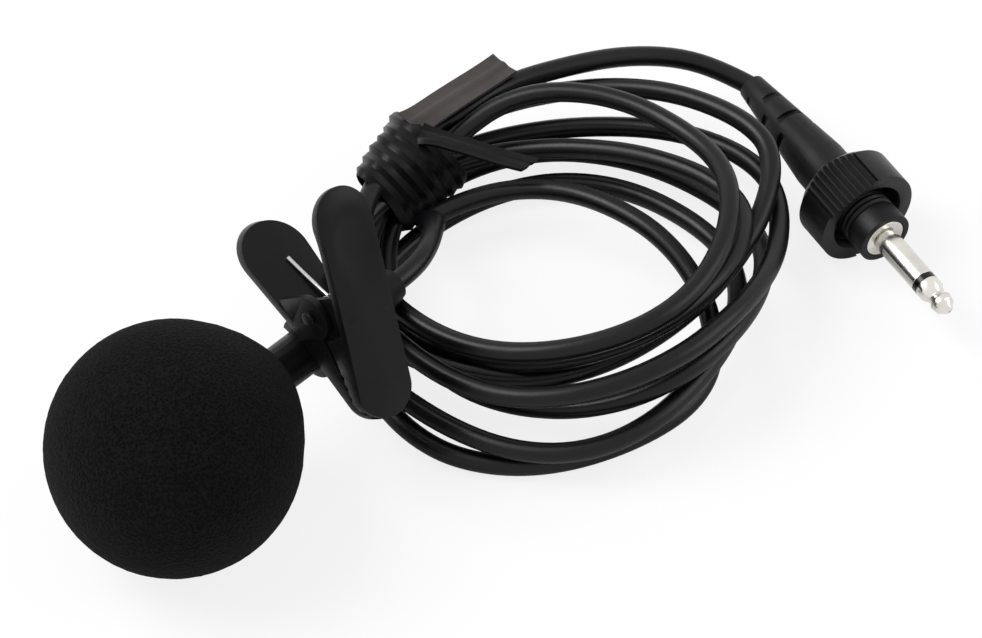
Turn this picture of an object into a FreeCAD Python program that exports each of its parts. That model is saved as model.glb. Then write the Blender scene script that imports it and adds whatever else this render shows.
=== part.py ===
import FreeCAD
import Part
import Sketcher
import math
import os
from types import SimpleNamespace

from FreeCAD import Placement, Rotation, Vector

# A clip-on microphone with a foam windscreen, a sprung clip, a coiled cord and a locking plug.
# The microphone's axis runs along +X, from the windscreen to the cord, and +Z is up.
# Lengths are in millimetres and angles in degrees.

DRIVING = {
    # Places in the object's frame
    "mic_x": -11.2,
    "mic_height": 16.6,
    # Windscreen
    "foam_radius": 16.6,
    "foam_bore_radius": 4.5,
    "foam_bore_front": -8.0,
    "foam_shoulder_at": 11.0,
    "foam_shoulder_radius": 12.43,
    "foam_collar_end": 18.8,
    "foam_collar_radius": 5.5,
    # Microphone
    "head_radius": 4.2,
    "head_front": -6.0,
    "head_end": 12.0,
    "head_bore_radius": 3.3,
    "head_bore_end": 10.5,
    "neck_radius": 3.1,
    "neck_start": 14.5,
    "neck_end": 33.5,
    "neck_bore_radius": 2.2,
    "grille_depth": 0.6,
    "grille_hole_radius": 0.45,
    "grille_hole_ring": 2.0,
    "felt_depth": 0.4,
    "capsule_radius": 2.9,
    "capsule_length": 3.4,
    "capsule_port_radius": 0.7,
    "capsule_port_depth": 0.5,
    "board_radius": 2.8,
    "board_depth": 0.8,
    "wire_radius": 0.3,
    "wire_offset": 0.5,
    "crimp_radius": 2.1,
    "crimp_length": 3.0,
    "collar_length": 1.2,
    "relief_length": 4.4,
    "relief_end_radius": 2.1,
    "relief_plug_length": 3.0,
    "fit_gap": 0.05,
    # Clip
    "clip_middle": 25.7,
    "clip_tilt": 47.0,
    "clip_skew": -5.5,
    "ring_across": 8.9,
    "ring_along": 4.8,
    "ring_wall": 1.3,
    "ring_width": 5.0,
    "ring_half_wrap": 130.0,
    "paddle_thickness": 1.5,
    "upper_lever_length": 15.0,
    "upper_lever_width": 7.9,
    "upper_flare": 12.2,
    "upper_elbow": 6.4,
    "upper_jaw_width": 7.2,
    "upper_skirt_start": 3.5,
    "lower_lever_length": 12.2,
    "lower_lever_width": 9.2,
    "lower_flare": 11.1,
    "lower_elbow": 5.2,
    "lower_jaw_width": 6.6,
    "lower_skirt_start": 2.5,
    "skirt_wall": 0.9,
    "skirt_gap": 0.4,
    "jaw_length": 16.2,
    "jaw_gap": 0.15,
    "tooth_count": 5,
    "tooth_pitch": 1.6,
    "tooth_depth": 0.6,
    "pin_radius": 0.7,
    "pin_half_length": 4.3,
    "pin_head_radius": 1.1,
    "pin_head_depth": 0.5,
    "pin_clearance": 0.03,
    "ear_thickness": 0.9,
    "upper_ear_inside": 2.15,
    "upper_ear_radius": 2.0,
    "lower_ear_inside": 3.2,
    "lower_ear_radius": 3.0,
    "spring_wire_radius": 0.3,
    "spring_coil_radius": 1.35,
    "spring_pitch": 1.04,
    "spring_leg_root": 1.5,
    "spring_leg_angle": 68.0,
    # Cord
    "cord_radius": 1.4,
    "tie_x": 48.5,
    "tie_y": 19.3,
    "tie_height": 6.9,
    "bundle_radius": 3.88,
    # Twist tie
    "tie_wire_radius": 0.6,
    "tie_loop_radius": 6.2,
    "tie_pitch": 1.66,
    "tail_thickness": 0.8,
    "long_tail_width": 4.6,
    "long_tail_slant": 0.2,
    "short_tail_width": 3.0,
    "short_tail_slant": -1.6,
    "tie_turns": 4,
    # Plug
    "plug_x": 93.5,
    "plug_y": -3.5,
    "plug_height": 7.3,
    "plug_heading": -104.0,
    "boot_radius": 1.9,
    "boot_length": 17.0,
    "boot_bore_end": 12.0,
    "body_radius": 3.8,
    "body_bore_radius": 2.7,
    "body_end": 24.9,
    "bead_radius": 4.3,
    "bead_width": 1.0,
    "notch_start": 2.0,
    "notch_pitch": 2.2,
    "notch_width": 1.0,
    "nose_start": 19.0,
    "nose_radius": 3.9,
    "nose_end": 32.8,
    "nose_bore_radius": 1.45,
    "thread_pitch": 0.8,
    "thread_depth": 0.3,
    "washer_radius": 4.6,
    "washer_depth": 0.7,
    "nut_start": 21.3,
    "nut_length": 7.2,
    "nut_lobe_radius": 7.3,
    "nut_panel": 5.6,
    "nut_turn": 25.0,
    "nut_bore_radius": 3.95,
    "nut_wall": 3.6,
    "nut_thread_radius": 4.9,
    "nut_mouth_radius": 5.4,
    "nut_chamfer": 1.6,
    "rib_pitch": 0.9,
    "rib_height": 0.4,
    "shoulder_radius": 2.9,
    "shoulder_depth": 0.6,
    "contact_radius": 1.75,
    "contact_root_radius": 1.4,
    "contact_undercut": 0.3,
    "contact_bore_radius": 1.0,
    "contact_rear": 26.0,
    "sleeve_end": 41.7,
    "insulator_depth": 0.9,
    "rod_radius": 0.6,
    "rod_rear": 22.0,
    "tip_waist_radius": 1.15,
    "tip_bulb_radius": 1.55,
    "tip_end": 48.0,
    "plug_crimp_length": 3.0,
    "crimp_inset": 1.5,
    "wire_end_gap": 0.3,
}

# Each turn of the coil passes these places: its right, near and left sides, with their heights.
COIL = {
    "turn_right": [65.5, 72.5, 76, 72.5, 80.5, 82, 75],
    "turn_left": [22, 19, 31.5, 30.5, 18, 22, 21],
    "middle_right": [-12, -15, -14, -14.5, -16, -11.5, -3.5],
    "middle_left": [-13, 1.5, -11, 5, 4, -1.5, 2],
    "turn_near": [-34, -35.5, -35.5, -29.5, -34.5, -29.5, -32],
    "height_right": [10.5, 2, 2, 12, 8, 14, 18],
    "height_near": [1.6, 6.5, 11.5, 15.5, 15, 10, 19],
    "height_left": [1.6, 5, 2, 5.5, 8.5, 8, 12],
}
PLAN_KEYS = ("turn_right", "turn_left", "middle_right", "middle_left", "turn_near")
for quantity, turns in COIL.items():
    for number, place in enumerate(turns, start=1):
        DRIVING[f"{quantity}_{number}"] = place

document = FreeCAD.newDocument("LavalierMicrophone")
sheet = document.addObject("Spreadsheet::Sheet", "Sizes")
for row, (name, value) in enumerate(DRIVING.items(), start=1):
    sheet.set(f"A{row}", name)
    sheet.set(f"B{row}", str(value))
    sheet.setAlias(f"B{row}", name)
document.recompute()


class Size:
    """A number from the sheet, together with the expression that gives it."""

    def __init__(self, value, text=None):
        self.value = float(value)
        self.text = text or repr(float(value))

    def __add__(self, other):
        other = sized(other)
        return Size(self.value + other.value, f"({self.text} + {other.text})")

    def __sub__(self, other):
        other = sized(other)
        return Size(self.value - other.value, f"({self.text} - {other.text})")

    def __mul__(self, other):
        other = sized(other)
        return Size(self.value * other.value, f"({self.text} * {other.text})")

    def __truediv__(self, other):
        other = sized(other)
        return Size(self.value / other.value, f"({self.text} / {other.text})")

    def __rsub__(self, other):
        return sized(other) - self

    def __neg__(self):
        return Size(-self.value, f"(-{self.text})")

    __radd__ = __add__
    __rmul__ = __mul__


def sized(number):
    return number if isinstance(number, Size) else Size(number)


def cosine(angle):
    return Size(math.cos(math.radians(angle.value)), f"cos({angle.text})")


def sine(angle):
    return Size(math.sin(math.radians(angle.value)), f"sin({angle.text})")


size = SimpleNamespace(**{name: Size(value, f"Sizes.{name}") for name, value in DRIVING.items()})
pieces = []


# Document helpers

def finish(piece, placement=None):
    """Count an object as a sub-part and put it in its place."""
    piece.Label = piece.Name
    if placement:
        placement(piece)
    pieces.append(piece)
    return piece


def inMicrophone(piece):
    piece.setExpression("Placement.Base.x", size.mic_x.text)
    piece.setExpression("Placement.Base.z", size.mic_height.text)


def inClip(piece):
    across = size.ring_across
    along = size.ring_along
    tilt = size.clip_tilt
    pinY = -(across * sine(tilt)) + along * cosine(tilt)
    pinZ = size.mic_height + across * cosine(tilt) + along * sine(tilt)
    skewed = Rotation(Vector(0, 1, 0), size.clip_skew.value)
    piece.Placement = Placement(Vector(), Rotation(Vector(1, 0, 0), 90 + tilt.value) * skewed)
    piece.setExpression("Placement.Base.x", (size.mic_x + size.clip_middle).text)
    piece.setExpression("Placement.Base.y", pinY.text)
    piece.setExpression("Placement.Base.z", pinZ.text)


def inPlug(piece):
    piece.Placement = Placement(Vector(), Rotation(Vector(0, 0, 1), size.plug_heading.value))
    piece.setExpression("Placement.Rotation.Angle", (size.plug_heading + 360).text)
    piece.setExpression("Placement.Base.x", size.plug_x.text)
    piece.setExpression("Placement.Base.y", size.plug_y.text)
    piece.setExpression("Placement.Base.z", size.plug_height.text)


def newBody(name):
    return document.addObject("PartDesign::Body", name)


def newSketch(body, role, name, offset=None, turn=0):
    """A sketch on one of the body's own origin planes, or beside it, or turned about its X."""
    sketch = body.newObject("Sketcher::SketchObject", name)
    plane = next(item for item in body.Origin.OriginFeatures if item.Role == role)
    sketch.AttachmentSupport = [(plane, "")]
    sketch.MapMode = "FlatFace"
    turning = Rotation(Vector(1, 0, 0), turn)
    sketch.AttachmentOffset = Placement(Vector(), turning)
    if offset:
        sketch.setExpression("AttachmentOffset.Base.z", offset.text)
    return sketch


def fixPlace(sketch, kind, geometry, point, distance):
    """Hold a point of a sketch at a distance from its origin along X or Y."""
    index = sketch.addConstraint(Sketcher.Constraint(kind, -1, 1, geometry, point, distance.value))
    sketch.setExpression(f"Constraints[{index}]", distance.text)


def drawOutline(sketch, corners):
    """Draw a closed outline. A corner is (x, y), or (x, y, centre x, centre y, turn) where the
    edge that leaves it is an arc about that centre, anticlockwise (1) or clockwise (-1)."""
    first = sketch.GeometryCount
    ends = []
    for corner, following in zip(corners, corners[1:] + corners[:1]):
        start = Vector(sized(corner[0]).value, sized(corner[1]).value, 0)
        stop = Vector(sized(following[0]).value, sized(following[1]).value, 0)
        if len(corner) == 2:
            sketch.addGeometry(Part.LineSegment(start, stop))
            ends.append((1, 2))
            continue
        centre = Vector(sized(corner[2]).value, sized(corner[3]).value, 0)
        low, high = (start, stop) if corner[4] > 0 else (stop, start)
        angles = [math.atan2(point.y - centre.y, point.x - centre.x) for point in (low, high)]
        if angles[1] <= angles[0]:
            angles[1] += 2 * math.pi
        circle = Part.Circle(centre, Vector(0, 0, 1), (start - centre).Length)
        sketch.addGeometry(Part.ArcOfCircle(circle, angles[0], angles[1]))
        ends.append((1, 2) if corner[4] > 0 else (2, 1))
    count = len(corners)
    for index in range(count):
        after = (index + 1) % count
        joined = ("Coincident", first + index, ends[index][1], first + after, ends[after][0])
        sketch.addConstraint(Sketcher.Constraint(*joined))
    for index, (corner, following) in enumerate(zip(corners, corners[1:] + corners[:1])):
        fixPlace(sketch, "DistanceX", first + index, ends[index][0], sized(corner[0]))
        fixPlace(sketch, "DistanceY", first + index, ends[index][0], sized(corner[1]))
        if len(corner) > 2:
            across = abs(sized(following[0]).value - sized(corner[0]).value)
            up = abs(sized(following[1]).value - sized(corner[1]).value)
            kind, number = ("DistanceX", corner[2]) if up > across else ("DistanceY", corner[3])
            fixPlace(sketch, kind, first + index, 3, sized(number))


def drawCircle(sketch, x, y, radius):
    x, y, radius = sized(x), sized(y), sized(radius)
    circle = Part.Circle(Vector(x.value, y.value, 0), Vector(0, 0, 1), radius.value)
    index = sketch.addGeometry(circle)
    fixPlace(sketch, "DistanceX", index, 3, x)
    fixPlace(sketch, "DistanceY", index, 3, y)
    held = sketch.addConstraint(Sketcher.Constraint("Radius", index, radius.value))
    sketch.setExpression(f"Constraints[{held}]", radius.text)


def turned(name, corners, placement=None):
    """A body turned about X from an outline of (distance along X, radius)."""
    body = newBody(name)
    sketch = newSketch(body, "XZ_Plane", name + "Profile")
    drawOutline(sketch, corners)
    revolution = body.newObject("PartDesign::Revolution", name + "Turned")
    revolution.Profile = sketch
    revolution.ReferenceAxis = (sketch, ["H_Axis"])
    revolution.Angle = 360
    return finish(body, placement)


def tube(name, start, stop, inner, outer, placement):
    corners = [(start, inner), (stop, inner), (stop, outer), (start, outer)]
    return turned(name, corners, placement)


def padded(body, sketch, name, length, middle=False, reverse=False):
    pad = body.newObject("PartDesign::Pad", name)
    pad.Profile = sketch
    pad.setExpression("Length", sized(length).text)
    pad.Midplane = middle
    pad.Reversed = reverse
    return pad


def cutThrough(body, sketch, name):
    pocket = body.newObject("PartDesign::Pocket", name)
    pocket.Profile = sketch
    pocket.Type = "ThroughAll"
    pocket.Midplane = True
    return pocket


def pocketMiddle(body, sketch, name, width):
    pocket = body.newObject("PartDesign::Pocket", name)
    pocket.Profile = sketch
    pocket.setExpression("Length", sized(width).text)
    pocket.Midplane = True
    return pocket


def grooved(body, name, outlines):
    """Cut a turned recess about X into a body."""
    sketch = newSketch(body, "XZ_Plane", name + "Profile")
    for outline in outlines:
        drawOutline(sketch, outline)
    groove = body.newObject("PartDesign::Groove", name)
    groove.Profile = sketch
    groove.ReferenceAxis = (sketch, ["H_Axis"])
    groove.Angle = 360
    return groove


def rod(name, start, length, radius, y=0, z=0):
    """A round bar along X."""
    bar = document.addObject("Part::Cylinder", name)
    bar.setExpression("Radius", sized(radius).text)
    bar.setExpression("Height", sized(length).text)
    bar.Placement = Placement(Vector(), Rotation(Vector(0, 1, 0), 90))
    bar.setExpression("Placement.Base.x", sized(start).text)
    bar.setExpression("Placement.Base.y", sized(y).text)
    bar.setExpression("Placement.Base.z", sized(z).text)
    return bar


def grouped(name, members, placement):
    """Several separate solids in one sub-part."""
    group = document.addObject("Part::Compound", name)
    group.Links = members
    return finish(group, placement)


def wirePair(name, start, length, placement):
    sides = (("Upper", size.wire_offset), ("Lower", -size.wire_offset))
    wires = [rod(name + side, start, length, size.wire_radius, z=place) for side, place in sides]
    return grouped(name, wires, placement)


# Paths for tubes

def arcThrough(start, control, stop):
    """An arc from start to stop, tangent to both legs of the corner at control."""
    middle = (start + stop) * 0.5
    reach = (control - start).Length
    cosHalf = (middle - start).Length / reach
    if cosHalf > 1 - 1e-9:
        return Part.LineSegment(start, stop).toShape()
    apex = middle + (control - middle) * (cosHalf / (1 + cosHalf))
    return Part.Arc(start, apex, stop).toShape()


def biarc(start, leave, stop, arrive):
    """Two arcs from one place and heading to another."""
    chord = stop - start
    both = leave + arrive
    spread = 2 * (1 - leave.dot(arrive))
    if spread < 1e-9:
        reach = chord.dot(chord) / (2 * chord.dot(both))
    else:
        root = math.sqrt(chord.dot(both) ** 2 + spread * chord.dot(chord))
        reach = (root - chord.dot(both)) / spread
    firstControl = start + leave * reach
    secondControl = stop - arrive * reach
    joint = (firstControl + secondControl) * 0.5
    return [arcThrough(start, firstControl, joint), arcThrough(joint, secondControl, stop)]


def biarcPath(stations):
    """Edges through a list of (place, heading)."""
    edges = []
    for (start, leave), (stop, arrive) in zip(stations, stations[1:]):
        edges += biarc(start, leave, stop, arrive)
    return edges


def sweepTube(edges, radius):
    """A round tube along a path whose edges join smoothly."""
    spine = Part.Wire(edges)
    start = edges[0].valueAt(edges[0].FirstParameter)
    heading = edges[0].tangentAt(edges[0].FirstParameter)
    circle = Part.Wire([Part.Circle(start, heading, radius).toShape()])
    shell = Part.BRepOffsetAPI.MakePipeShell(spine)
    shell.add(circle, False, False)
    shell.build()
    shell.makeSolid()
    return shell.shape()


def tightest(edges):
    radii = [edge.Curve.Radius for edge in edges if hasattr(edge.Curve, "Radius")]
    return min(radii)


def leastGap(edges, radius, step=0.7):
    """The least gap between stretches of a tube that lie apart along it."""
    places = []
    for edge in edges:
        places += edge.discretize(Number=max(3, int(edge.Length / step) + 1))[:-1]
    travel = [0.0]
    for before, after in zip(places, places[1:]):
        travel.append(travel[-1] + (after - before).Length)
    apart = 4 * math.pi * radius
    least = math.inf
    for i, place in enumerate(places):
        for j in range(i + 1, len(places)):
            if travel[j] - travel[i] > apart:
                least = min(least, place.distanceToPoint(places[j]))
    return least - 2 * radius


def sweptPiece(name, edges, radius, extra=()):
    """A sub-part made of one swept tube and any plain solids joined to it."""
    shape = sweepTube(edges, radius)
    length = sum(edge.Length for edge in edges)
    expected = math.pi * radius ** 2 * length
    print(f"{name}: length {length:.1f}, tightest radius {tightest(edges):.1f}, "
          f"volume {shape.Volume:.1f} of {expected:.1f}")
    for solid in extra:
        shape = shape.fuse(solid)
    piece = document.addObject("Part::Feature", name)
    piece.Shape = shape
    return finish(piece)


def routeEdges(points):
    """Straight runs joined by tangent arcs, each as large as its two runs allow."""
    points = [Vector(*point) for point in points]
    edges = []
    radii = []
    last = points[0]
    for before, corner, after in zip(points, points[1:], points[2:]):
        arriving = corner - before
        leaving = after - corner
        reach = 0.45 * min(arriving.Length, leaving.Length)
        start = corner - arriving.normalize() * reach
        stop = corner + leaving.normalize() * reach
        edges.append(Part.LineSegment(last, start).toShape())
        edges.append(arcThrough(start, corner, stop))
        radii.append(round(edges[-1].Curve.Radius, 1))
        last = stop
    edges.append(Part.LineSegment(last, points[-1]).toShape())
    print("route radii", radii)
    return edges


# Windscreen and microphone

def makeWindscreen():
    turned("windscreen", [
        (-size.foam_radius, 0, 0, 0, -1),
        (size.foam_shoulder_at, size.foam_shoulder_radius),
        (size.foam_collar_end, size.foam_collar_radius),
        (size.foam_collar_end, size.foam_bore_radius),
        (size.foam_bore_front, size.foam_bore_radius),
        (size.foam_bore_front, 0),
    ], inMicrophone)


def makeGrille():
    """A pierced disc over the microphone's front."""
    body = newBody("front_grille")
    sketch = newSketch(body, "YZ_Plane", "GrilleDisc", size.head_front - size.grille_depth)
    drawCircle(sketch, 0, 0, size.head_radius)
    drawCircle(sketch, 0, 0, size.grille_hole_radius)
    holes = 6
    for hole in range(holes):
        angle = 2 * math.pi * hole / holes
        across = size.grille_hole_ring * math.cos(angle)
        up = size.grille_hole_ring * math.sin(angle)
        drawCircle(sketch, across, up, size.grille_hole_radius)
    padded(body, sketch, "GrillePad", size.grille_depth)
    finish(body, inMicrophone)


def makeMicrophone():
    makeGrille()
    turned("capsule_housing", [
        (size.head_front, size.head_radius),
        (size.head_end, size.head_radius),
        (size.neck_start, size.neck_radius),
        (size.neck_end, size.neck_radius),
        (size.neck_end, size.neck_bore_radius),
        (size.head_end, size.neck_bore_radius),
        (size.head_bore_end, size.head_bore_radius),
        (size.head_front, size.head_bore_radius),
    ], inMicrophone)
    felt = rod("felt_disc", 0, size.felt_depth, size.capsule_radius)
    felt.setExpression("Placement.Base.x", (size.mic_x + size.head_front).text)
    felt.setExpression("Placement.Base.z", size.mic_height.text)
    grouped("dust_felt", [felt], None)
    capsuleFront = size.head_front + size.felt_depth
    capsuleRear = capsuleFront + size.capsule_length
    turned("electret_capsule", [
        (capsuleFront, size.capsule_port_radius),
        (capsuleFront, size.capsule_radius),
        (capsuleRear, size.capsule_radius),
        (capsuleRear, 0),
        (capsuleFront + size.capsule_port_depth, 0),
        (capsuleFront + size.capsule_port_depth, size.capsule_port_radius),
    ], inMicrophone)
    sealOutside = size.head_bore_radius - size.fit_gap
    sealInside = size.capsule_radius + size.fit_gap
    tube("capsule_seal", size.head_front, capsuleRear, sealInside, sealOutside, inMicrophone)
    boardRear = capsuleRear + size.board_depth
    turned("fet_board", [
        (capsuleRear, 0),
        (capsuleRear, size.board_radius),
        (boardRear, size.board_radius),
        (boardRear, 0),
    ], inMicrophone)
    cordEnd = size.neck_end + size.collar_length + size.relief_length
    wirePair("board_wires", boardRear, cordEnd - boardRear, inMicrophone)
    plugStart = size.neck_end - size.relief_plug_length
    wireRoom = size.wire_offset + size.wire_radius + size.fit_gap
    tube("cord_crimp", plugStart - size.crimp_length, plugStart, wireRoom, size.crimp_radius, inMicrophone)
    plugRadius = size.neck_bore_radius - size.fit_gap
    collarEnd = size.neck_end + size.collar_length
    tube("rear_collar", size.neck_end, collarEnd, size.neck_bore_radius, size.neck_radius, inMicrophone)
    turned("strain_relief", [
        (plugStart, wireRoom),
        (plugStart, plugRadius),
        (collarEnd, plugRadius),
        (collarEnd, size.neck_radius),
        (cordEnd, size.relief_end_radius),
        (cordEnd, wireRoom),
    ], inMicrophone)


# Clip: the pin is at its centre, X is along the pin and Z runs from the levers to the jaws

def paddleSize(side):
    """The numbers of the upper paddle (1) or the lower one (-1)."""
    name = "upper" if side > 0 else "lower"
    keys = (
        "lever_length",
        "lever_width",
        "flare",
        "elbow",
        "jaw_width",
        "skirt_start",
        "ear_inside",
        "ear_radius",
    )
    return SimpleNamespace(**{key: getattr(size, f"{name}_{key}") for key in keys})


def undersideAt(own, along):
    """How high the plate's inner face is, between the pin and the tip."""
    share = 1 - along.value / size.jaw_length.value
    return size.jaw_gap + (own.elbow - size.jaw_gap) * share


def paddleProfile(own, side):
    """The paddle's section, with its teeth and the edge of its side walls."""
    tip = size.jaw_length
    thick = size.paddle_thickness
    corners = [(size.jaw_gap + thick, tip), (size.jaw_gap, tip)]
    for tooth in range(1, int(size.tooth_count.value) + 1):
        valley = tip - size.tooth_pitch * (tooth - 0.5)
        peak = tip - size.tooth_pitch * tooth
        corners.append((size.jaw_gap + size.tooth_depth, valley))
        corners.append((size.jaw_gap, peak))
    root = tip - size.tooth_pitch * size.tooth_count
    start = own.skirt_start
    corners.append((size.skirt_gap, root))
    corners.append((size.skirt_gap, start))
    corners.append((undersideAt(own, start), start))
    corners.append((own.elbow, 0))
    corners.append((own.flare, -own.lever_length))
    corners.append((own.flare + thick, -own.lever_length))
    corners.append((own.elbow + thick, 0))
    return [(height * side, along) for height, along in corners]


def skirtCavity(own, side):
    """The room between the side walls."""
    start = own.skirt_start
    stop = size.jaw_length - size.tooth_pitch * size.tooth_count
    corners = [
        (size.skirt_gap - 1, stop),
        (undersideAt(own, stop), stop),
        (undersideAt(own, start), start),
        (size.skirt_gap - 1, start),
    ]
    return [(height * side, along) for height, along in corners]


def paddleOutline(own):
    """A tapered oval: round ends of two radii joined by their tangents."""
    leverRadius = own.lever_width / 2
    jawRadius = own.jaw_width / 2
    leverCentre = leverRadius - own.lever_length
    jawCentre = size.jaw_length - jawRadius
    lean = math.asin((leverRadius.value - jawRadius.value) / (jawCentre.value - leverCentre.value))
    cosLean, sinLean = math.cos(lean), math.sin(lean)
    leverSide = leverRadius * cosLean
    leverTouch = leverCentre + leverRadius * sinLean
    jawSide = jawRadius * cosLean
    jawTouch = jawCentre + jawRadius * sinLean
    return [
        (leverSide, leverTouch),
        (jawSide, jawTouch, 0, jawCentre, 1),
        (-jawSide, jawTouch),
        (-leverSide, leverTouch, 0, leverCentre, 1),
    ]


def makePaddle(name, side):
    own = paddleSize(side)
    body = newBody(name)
    profile = newSketch(body, "YZ_Plane", name + "Section")
    drawOutline(profile, paddleProfile(own, side))
    padded(body, profile, name + "Blank", own.lever_width * 1.5, middle=True)
    trim = newSketch(body, "XZ_Plane", name + "Trim")
    reach = own.lever_width * 2
    high = size.jaw_length * 2
    drawOutline(trim, [(-reach, -high), (reach, -high), (reach, high), (-reach, high)])
    drawOutline(trim, paddleOutline(own))
    cutThrough(body, trim, name + "Trimmed")
    cavity = newSketch(body, "YZ_Plane", name + "Cavity")
    drawOutline(cavity, skirtCavity(own, side))
    pocketMiddle(body, cavity, name + "Hollowed", own.jaw_width - size.skirt_wall * 2)
    root = (own.elbow + size.paddle_thickness / 2) * side
    radius = own.ear_radius
    for way, label in ((1, "Right"), (-1, "Left")):
        ear = newSketch(body, "YZ_Plane", name + label + "Ear", own.ear_inside * way)
        drawOutline(ear, [
            (root, -radius),
            (root, radius),
            (0, radius, 0, 0, side),
            (0, -radius),
        ])
        padded(body, ear, name + label + "EarPad", size.ear_thickness, reverse=way < 0)
    bore = newSketch(body, "YZ_Plane", name + "Bore")
    drawCircle(bore, 0, 0, size.pin_radius + size.pin_clearance)
    cutThrough(body, bore, name + "Bored")
    return body


def addRing(body):
    """The open ring that snaps over the microphone's neck, square to the neck's axis."""
    inner = size.neck_radius + size.fit_gap
    outer = inner + size.ring_wall
    across, along = -size.ring_across, size.ring_along
    cosWrap, sinWrap = cosine(size.ring_half_wrap), sine(size.ring_half_wrap)
    sketch = newSketch(body, "YZ_Plane", "RingSection", turn=-size.clip_skew.value)
    drawOutline(sketch, [
        (across + outer * cosWrap, along - outer * sinWrap, across, along, 1),
        (across + outer * cosWrap, along + outer * sinWrap),
        (across + inner * cosWrap, along + inner * sinWrap, across, along, -1),
        (across + inner * cosWrap, along - inner * sinWrap),
    ])
    padded(body, sketch, "Ring", size.ring_width, middle=True)


def makeClip():
    finish(makePaddle("clip_upper_jaw", 1), inClip)
    lower = makePaddle("clip_lower_jaw", -1)
    addRing(lower)
    finish(lower, inClip)
    half = size.pin_half_length
    head = half + size.pin_head_depth
    turned("hinge_pin", [
        (-head, 0),
        (-head, size.pin_head_radius),
        (-half, size.pin_head_radius),
        (-half, size.pin_radius),
        (half, size.pin_radius),
        (half, size.pin_head_radius),
        (head, size.pin_head_radius),
        (head, 0),
    ], inClip)
    makeSpring()


UPPER_LEG = [Vector(-1.3, 6.35, -1.1), Vector(-0.8, 8.3, -6.0)]
LOWER_LEG = [Vector(1.75, -5.0, -0.6), Vector(0.7, -8.1, -6.8)]


def makeSpring():
    """Three and a part turns round the pin, with a bent leg along each lever."""
    radius = size.spring_coil_radius.value
    pitch = size.spring_pitch.value
    first = math.radians(size.spring_leg_angle.value)
    turns = 3
    last = math.pi - first + 2 * math.pi * turns
    climb = pitch / (2 * math.pi)
    slope = math.hypot(radius, climb)
    start = -climb * (last - first) / 2

    def station(angle):
        place = Vector(start + climb * (angle - first), radius * math.cos(angle), radius * math.sin(angle))
        heading = Vector(climb, -radius * math.sin(angle), radius * math.cos(angle)) / slope
        return place, heading

    steps = 4 * turns + 2
    stations = [station(first + (last - first) * step / steps) for step in range(steps + 1)]
    leg = size.spring_leg_root.value
    enter, leave = stations[0], stations[-1]
    edges = routeEdges(UPPER_LEG[::-1] + [enter[0] - enter[1] * leg, enter[0]])
    edges += biarcPath(stations)
    edges += routeEdges([leave[0], leave[0] + leave[1] * leg] + LOWER_LEG)
    spring = sweptPiece("torsion_spring", edges, size.spring_wire_radius.value)
    print(f"torsion_spring: least gap {leastGap(edges, size.spring_wire_radius.value, 0.15):.2f}")
    inClip(spring)


# Cord

MIC_LEAD = [
    (31.1, 0.0, 16.6),
    (35.5, 2.2, 16.2),
    (37.4, 6.0, 14.0),
    (37.0, 10.9, 10.0),
    (39.7, 14.1, 8.1),
    (43.2, 15.52, 7.76),
]
PLUG_LEAD = [
    (54.4, 20.98, 10.4),
    (59.5, 21.0, 12.2),
    (67.5, 19.4, 12.7),
    (76.0, 15.6, 11.6),
    (84.3, 12.3, 9.6),
    (91.8, 8.0, 7.8),
    (94.7, 1.4, 7.3),
]


def tieCentre():
    return Vector(size.tie_x.value, size.tie_y.value, size.tie_height.value)


def tieSlots():
    """Where the passes of the cord go through the tie: one in the middle and seven round it."""
    share = 2 * math.pi / 7
    below = -math.pi / 2
    order = [-2 * share, 0, share, -share, None, 2 * share, -3 * share, 3 * share]
    slots = []
    for turn in order:
        across = 0 if turn is None else math.cos(below + turn)
        up = 0 if turn is None else math.sin(below + turn)
        slots.append(tieCentre() + Vector(0, across, up) * size.bundle_radius.value)
    return slots


def coilPoint(turn, quarter, share):
    """A place on a turn and its heading. A turn runs clockwise from the tie as four quarters of
    ellipses, and its height eases from the end of one quarter to the next."""
    slots = tieSlots()
    right, left, middleRight, middleLeft, nearSide = (COIL[key][turn] for key in PLAN_KEYS)
    bottom = (right + left) / 2
    corners = [
        slots[turn],
        Vector(right, middleRight, COIL["height_right"][turn]),
        Vector(bottom, nearSide, COIL["height_near"][turn]),
        Vector(left, middleLeft, COIL["height_left"][turn]),
        slots[turn + 1],
    ]
    start, stop = corners[quarter], corners[quarter + 1]
    swing = share * math.pi / 2
    grow, fall = math.sin(swing), 1 - math.cos(swing)
    easeX, easeY = (grow, fall) if quarter % 2 == 0 else (fall, grow)
    rateX, rateY = (math.cos(swing), grow) if quarter % 2 == 0 else (grow, math.cos(swing))
    reach = stop - start
    height = start.z + reach.z * (1 - math.cos(2 * swing)) / 2
    place = Vector(start.x + reach.x * easeX, start.y + reach.y * easeY, height)
    heading = Vector(reach.x * rateX, reach.y * rateY, reach.z * math.sin(2 * swing))
    return place, heading.normalize()


def coilStations():
    """Places and headings all along the coil, half a quarter apart."""
    turns = len(tieSlots()) - 1
    stations = []
    for turn in range(turns):
        for quarter in range(4):
            stations += [coilPoint(turn, quarter, share) for share in (0, 0.5)]
    stations.append(coilPoint(turns - 1, 3, 1))
    return stations


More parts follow.
